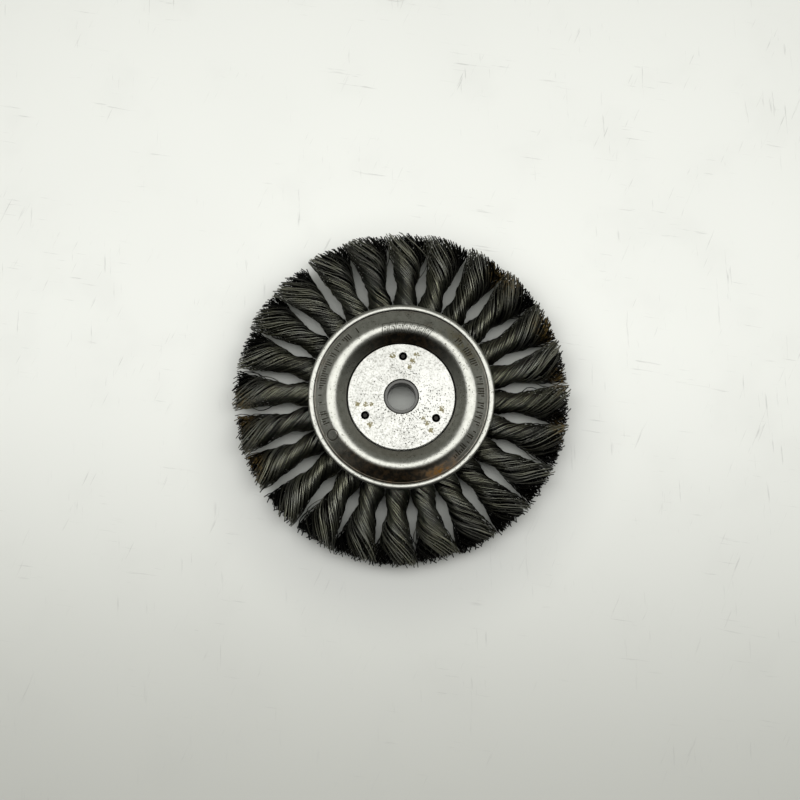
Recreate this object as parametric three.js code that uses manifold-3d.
// Knotted wire wheel brush. Twisted bundles of steel wire are threaded through a punched core plate,
// which two dished face plates and two hub discs clamp between them with three rivets. A reducer
// bushing, the arbor adapter, sits in the bore and slides out of it.
// Millimetres. The origin is the wheel's centre and +Z is the bore axis, towards the front.

import * as THREE from 'three';
import { mergeVertices } from 'three/addons/utils/BufferGeometryUtils.js';
import Module from 'manifold-3d';

const wasm = await Module();
wasm.setup();

// Driving dimensions: the whole wheel
const wheelDiameter = 154; // over the splayed wire tips
const faceWidth = 13; // of the brush at its tips, along the axis

// The bore
const arborBore = 15.875;
const adapterClearance = 0.2; // radial, between the adapter and the bore
const adapterWall = 1.39; // leaves a bore of 12.7 for the smaller spindle
const adapterInset = 0.4; // of each end below the hub disc's face
const adapterChamfer = 0.4;

// The core plate, which holds the knots
const corePlateThickness = 3;
const coreRimWidth = 2.8; // metal left outside the knot holes
const knotHoleClearance = 0.6; // radial, around a leg

// The hub discs
const hubDiscDiameter = 48.5;
const hubDiscThickness = 2.5;

// The face plates, from the hub disc outwards
const sheetThickness = 1.2;
const discEdgeGap = 0.5; // from the hub disc's edge to the pocket that it sits in
const pocketDraft = 0.3; // radial widening of the pocket's side towards its mouth
const pocketLip = 0.3; // of the pocket's mouth below the hub disc's face
const wallRun = 5.0; // radial width of the dish's wall, from the pocket's mouth to the ridge
const ridgeLand = 1.8; // flat top of the ridge
const slopeRun = 7.6; // radial width of the outer slope
const beadRadius = 1.35; // outside radius of the rolled rim
const beadWrap = 1.08; // half turns that the rolled rim covers
const slopeAllowance = 1.1; // sheet measured upright through the outer slope, in sheet thicknesses
const recessDepth = 4.4; // hub disc's face below the ridge's land

// The rivets
const rivetCount = 3;
const rivetEdgeDistance = 5.75; // from the hub disc's edge to a rivet's centre
const rivetDiameter = 2.9;
const rivetNubDiameter = 1.9;
const rivetNubLength = 1.3;
const rivetInset = 0.3; // of the staked end below the hub disc's face

// The knots
const knotCount = 24;
const legDiameter = 3.4;
const legDrop = 0.75; // height at which a leg joins the bundle, as a share of its height on the plate
const knotRootWidth = 6.4;
const knotWaistWidth = 8.1;
const knotWaistHeight = 0.92; // as a share of the height that the two legs take up at the root
const knotTwist = 1.2 * Math.PI; // left-hand, from root to tip
const twistGroove = 0.06; // half the depth of the groove between the two legs, as a share of the radius
const knotRootShare = 0.1; // of the free length, over which a knot fills its place beside the plates
const knotFlare = [
  // [share of the free length, share of the way from the waist's size to the tip's]
  [0.29, 0],
  [0.42, 0.2],
  [0.56, 0.42],
  [0.75, 0.8],
  [0.985, 1],
];

// Air
const clearance = 0.3; // around a piece that a neighbour could foul
const seat = 0.02; // between clamped faces

// Sides of the round faces
const plateSides = 36;
const boreSides = 24;
const smallHoleSides = 10;
const knotHoleSides = 8;
const knotSides = 10;
const legSides = 6;
const legSteps = 10;
const beadSteps = 4;

// Radii, from the bore outwards
const boreRadius = arborBore / 2;
const hubDiscRadius = hubDiscDiameter / 2;
const rivetCircleRadius = hubDiscRadius - rivetEdgeDistance;
const pocketRadius = hubDiscRadius + discEdgeGap;
const wallFootRadius = pocketRadius + pocketDraft;
const ridgeInnerRadius = wallFootRadius + wallRun;
const ridgeOuterRadius = ridgeInnerRadius + ridgeLand;
const valleyRadius = ridgeOuterRadius + slopeRun;
const facePlateRadius = valleyRadius + 2 * beadRadius;
const tipRadius = wheelDiameter / 2;
const legRadius = legDiameter / 2;
const knotHoleRadius = legRadius + knotHoleClearance;
const knotHoleCircleRadius = (ridgeInnerRadius + ridgeOuterRadius) / 2;
const corePlateRadius = knotHoleCircleRadius + knotHoleRadius + coreRimWidth;

// Heights above the mid-plane, from the core plate outwards
const coreHalf = corePlateThickness / 2;
const webBottom = coreHalf + seat;
const webTop = webBottom + sheetThickness;
const discBottom = webTop + seat;
const discTop = discBottom + hubDiscThickness;
const ridgeTop = discTop + recessDepth;
const legHeight = coreHalf + clearance + legRadius;
const knotRootHalf = legHeight + legRadius;
const valleyTop = knotRootHalf + clearance + sheetThickness * slopeAllowance;

const steel = (color, roughness, metalness) =>
  new THREE.MeshStandardMaterial({ color, roughness, metalness });
const discSteel = steel(0xc9c6bf, 0.35, 1);
const plateSteel = steel(0x9b988f, 0.4, 1);
const coreSteel = steel(0x77756f, 0.55, 1);
const rivetSteel = steel(0x6f6d69, 0.5, 1);
const adapterPlastic = new THREE.MeshStandardMaterial({ color: 0x6c6d6b, roughness: 0.6, metalness: 0 });
const wireSteel = steel(0x4a4842, 0.45, 1);

// A regular polygon whose flats touch the circle, so that a round piece of that radius still fits in.
function polygon(radius, sides, x = 0, y = 0) {
  const cornerRadius = radius / Math.cos(Math.PI / sides);
  return Array.from({ length: sides }, (_, i) => {
    const angle = ((i + 0.5) / sides) * 2 * Math.PI;
    return new THREE.Vector2(x + cornerRadius * Math.cos(angle), y + cornerRadius * Math.sin(angle));
  });
}

const mergeDistance = 1e-4;

// A geometry's shared vertices merged and its empty triangles dropped.
function merged(geometry) {
  const bare = geometry.clone();
  bare.deleteAttribute('normal');
  bare.deleteAttribute('uv');
  const joined = mergeVertices(bare, mergeDistance);
  const corners = joined.getIndex().array;
  const kept = [];
  for (let i = 0; i < corners.length; i += 3) {
    const [a, b, c] = corners.slice(i, i + 3);
    if (a !== b && b !== c && c !== a) kept.push(a, b, c);
  }
  joined.setIndex(kept);
  return joined;
}

function toManifold(geometry) {
  const closed = merged(geometry);
  return new wasm.Manifold(
    new wasm.Mesh({
      numProp: 3,
      vertProperties: new Float32Array(closed.getAttribute('position').array),
      triVerts: new Uint32Array(closed.getIndex().array),
    }),
  );
}

function fromManifold(manifold) {
  const mesh = manifold.getMesh();
  const geometry = new THREE.BufferGeometry();
  geometry.setAttribute('position', new THREE.BufferAttribute(mesh.vertProperties, 3));
  geometry.setIndex(new THREE.BufferAttribute(mesh.triVerts, 1));
  geometry.computeVertexNormals();
  return geometry;
}

// Turned around the bore axis. The profile is a list of (radius, height), counter-clockwise.
function turned(profile, sides) {
  const points = profile.map(([radius, height]) => new THREE.Vector2(radius, height));
  return merged(new THREE.LatheGeometry(points, sides).rotateX(Math.PI / 2));
}

// A flat round plate with round holes, each given as its own polygon.
function punchedPlate(outline, holes, bottom, thickness) {
  const shape = new THREE.Shape(outline);
  shape.holes = holes.map((hole) => new THREE.Path(hole));
  const plate = new THREE.ExtrudeGeometry(shape, { depth: thickness, bevelEnabled: false });
  return merged(plate.translate(0, 0, bottom));
}

const rivetStep = (2 * Math.PI) / rivetCount;
const rivetAngles = Array.from({ length: rivetCount }, (_, i) => Math.PI / 2 - i * rivetStep);
const knotAngles = Array.from({ length: knotCount }, (_, i) => Math.PI / 2 - (i * 2 * Math.PI) / knotCount);

const rivetCentres = rivetAngles.map((angle) => [
  rivetCircleRadius * Math.cos(angle),
  rivetCircleRadius * Math.sin(angle),
]);
const rivetHoleRadius = rivetDiameter / 2 + clearance;
const rivetHoles = rivetCentres.map(([x, y]) => polygon(rivetHoleRadius, smallHoleSides, x, y));

function corePlate() {
  const knotHoles = knotAngles.map((angle) =>
    polygon(
      knotHoleRadius,
      knotHoleSides,
      knotHoleCircleRadius * Math.cos(angle),
      knotHoleCircleRadius * Math.sin(angle),
    ),
  );
  const holes = [polygon(boreRadius, boreSides), ...rivetHoles, ...knotHoles];
  return punchedPlate(polygon(corePlateRadius, plateSides), holes, -coreHalf, corePlateThickness);
}

function hubDisc() {
  const holes = [polygon(boreRadius, boreSides), ...rivetHoles];
  return punchedPlate(polygon(hubDiscRadius, plateSides), holes, discBottom, hubDiscThickness);
}

// The line at a distance to the right of another line, with its corners mitred.
function offsetLine(line, distance) {
  const points = line.map(([x, y]) => new THREE.Vector2(x, y));
  const normals = points.slice(1).map((end, i) => {
    const along = end.clone().sub(points[i]).normalize();
    return new THREE.Vector2(along.y, -along.x);
  });
  return points.map((point, i) => {
    const before = normals[Math.max(i - 1, 0)];
    const after = normals[Math.min(i, normals.length - 1)];
    const mitre = before.clone().add(after).normalize();
    const moved = point.clone().addScaledVector(mitre, distance / mitre.dot(after));
    return [moved.x, moved.y];
  });
}

// A stamped dish: a flat web on the core plate, a pocket for the hub disc, a wall up to the ridge and a
// slope down to a rolled rim.
function facePlate() {
  const bead = Array.from({ length: beadSteps + 1 }, (_, i) => {
    const angle = Math.PI * (1 - (i / beadSteps) * beadWrap);
    return [
      facePlateRadius - beadRadius + beadRadius * Math.cos(angle),
      valleyTop + beadRadius * Math.sin(angle),
    ];
  });
  const outside = [
    [boreRadius, webTop],
    [pocketRadius, webTop],
    [wallFootRadius, discTop - pocketLip],
    [ridgeInnerRadius, ridgeTop],
    [ridgeOuterRadius, ridgeTop],
    ...bead,
  ];
  const inside = offsetLine(outside, sheetThickness);
  const dish = toManifold(turned([...inside, ...outside.reverse(), inside[0]], plateSides));
  const punches = rivetHoles.map((hole) => toManifold(punchedPlate(hole, [], 0, ridgeTop)));
  return fromManifold(punches.reduce((plate, punch) => plate.subtract(punch), dish));
}

// A piece on the front side, turned over about Y to make the one at the rear, so its rivet holes line up.
const turnedOver = (geometry) => geometry.clone().rotateY(Math.PI);

// A pin whose staked ends are narrower nubs, just below the faces of the hub discs.
function rivet() {
  const end = discTop - rivetInset;
  const shoulder = end - rivetNubLength;
  const nub = rivetNubDiameter / 2;
  const shank = rivetDiameter / 2;
  const profile = [
    [0, -end],
    [nub, -end],
    [nub, -shoulder],
    [shank, -shoulder],
    [shank, shoulder],
    [nub, shoulder],
    [nub, end],
    [0, end],
  ];
  return turned(profile, smallHoleSides);
}

// A plain reducer bushing with its outer edges chamfered.
function arborAdapter() {
  const outer = boreRadius - adapterClearance;
  const inner = outer - adapterWall;
  const end = discTop - adapterInset;
  const profile = [
    [inner, -end],
    [outer - adapterChamfer, -end],
    [outer, adapterChamfer - end],
    [outer, end - adapterChamfer],
    [outer - adapterChamfer, end],
    [inner, end],
    [inner, -end],
  ];
  return turned(profile, boreSides);
}

// The widest that a knot can be at a distance from the axis before it meets its neighbour's air gap.
const widestAt = (distance) => 2 * distance * Math.tan(Math.PI / knotCount) - 2 * clearance;

// The free part of a knot, along +X: a bundle that fills its place where it leaves the plates, draws
// in to a waist and flares out to the tip. Each ring is [distance, width, height].
function knotRings() {
  const along = (share) => facePlateRadius + share * (tipRadius - facePlateRadius);
  const filled = (distance) => [distance, widestAt(distance), 2 * knotRootHalf];
  const waistHeight = 2 * knotRootHalf * knotWaistHeight;
  const flared = ([lengthShare, flareShare]) => {
    const distance = along(lengthShare);
    const width = knotWaistWidth + flareShare * (widestAt(distance) - knotWaistWidth);
    return [distance, width, waistHeight + flareShare * (faceWidth - waistHeight)];
  };
  return [
    [corePlateRadius + clearance, knotRootWidth, waistHeight],
    filled(along(0)),
    filled(along(knotRootShare)),
    ...knotFlare.map(flared),
  ];
}

// The rings joined into a twisted bundle with a flat root and a domed tip on the wheel's outside circle.
function knotBundle() {
  const rings = knotRings();
  const [rootX] = rings[0];
  const positions = rings.flatMap(([distance, width, height], k) => {
    const turn = (knotTwist * (distance - tipRadius)) / (tipRadius - rootX);
    return Array.from({ length: knotSides }, (_, i) => {
      const angle = (i / knotSides) * 2 * Math.PI;
      const groove = 1 - twistGroove * (1 - Math.cos(2 * angle));
      const y = (-width / 2) * groove * Math.cos(angle + turn);
      const z = (height / 2) * groove * Math.sin(angle + turn);
      const x = k === rings.length - 1 ? Math.sqrt(tipRadius ** 2 - y ** 2) : distance;
      return [x, y, z];
    }).flat();
  });
  positions.push(rootX, 0, 0, tipRadius, 0, 0);
  const rootCentre = rings.length * knotSides;
  const tipCentre = rootCentre + 1;
  const lastRing = (rings.length - 1) * knotSides;
  const faces = [];
  for (let i = 0; i < knotSides; i += 1) {
    const next = (i + 1) % knotSides;
    for (let base = 0; base < lastRing; base += knotSides) {
      const [a, b, c, d] = [base + i, base + next, base + knotSides + next, base + knotSides + i];
      faces.push(a, c, b, a, d, c);
    }
    faces.push(rootCentre, i, next, tipCentre, lastRing + next, lastRing + i);
  }
  const geometry = new THREE.BufferGeometry();
  geometry.setAttribute('position', new THREE.Float32BufferAttribute(positions, 3));
  geometry.setIndex(faces);
  return geometry;
}

// The two legs and the bridge between them, which passes through the core plate's hole.
function knotLegs() {
  const hole = knotHoleCircleRadius;
  const bend = legRadius + knotHoleClearance / 2;
  const rim = corePlateRadius;
  const joined = facePlateRadius - beadRadius;
  const half = [
    [hole, legHeight - bend],
    [hole + bend, legHeight],
    [rim, legHeight],
    [joined, legHeight * legDrop],
  ];
  const points = [...half.map(([x, z]) => [x, -z]).reverse(), ...half];
  const path = new THREE.CatmullRomCurve3(points.map(([x, z]) => new THREE.Vector3(x, 0, z)));
  const section = new THREE.Shape(polygon(legRadius * Math.cos(Math.PI / legSides), legSides));
  return new THREE.ExtrudeGeometry(section, { steps: legSteps, extrudePath: path });
}

function knot() {
  return fromManifold(toManifold(knotBundle()).add(toManifold(knotLegs())));
}

const wheel = new THREE.Group();

function place(name, geometry, material, { x = 0, y = 0, angle = 0 } = {}) {
  const mesh = new THREE.Mesh(geometry, material);
  mesh.name = name;
  mesh.position.set(x, y, 0);
  mesh.rotation.z = angle;
  wheel.add(mesh);
}

place('core_plate', corePlate(), coreSteel);

const frontPlate = facePlate();
place('front_face_plate', frontPlate, plateSteel);
place('rear_face_plate', turnedOver(frontPlate), plateSteel);

const frontDisc = hubDisc();
place('front_hub_disc', frontDisc, discSteel);
place('rear_hub_disc', turnedOver(frontDisc), discSteel);

const pin = rivet();
rivetCentres.forEach(([x, y], i) => place(`rivet_${i + 1}`, pin, rivetSteel, { x, y }));

place('arbor_adapter', arborAdapter(), adapterPlastic);

const bundle = knot();
knotAngles.forEach((angle, i) => {
  const number = String(i + 1).padStart(2, '0');
  place(`knot_${number}`, bundle, wireSteel, { angle });
});

export default wheel;
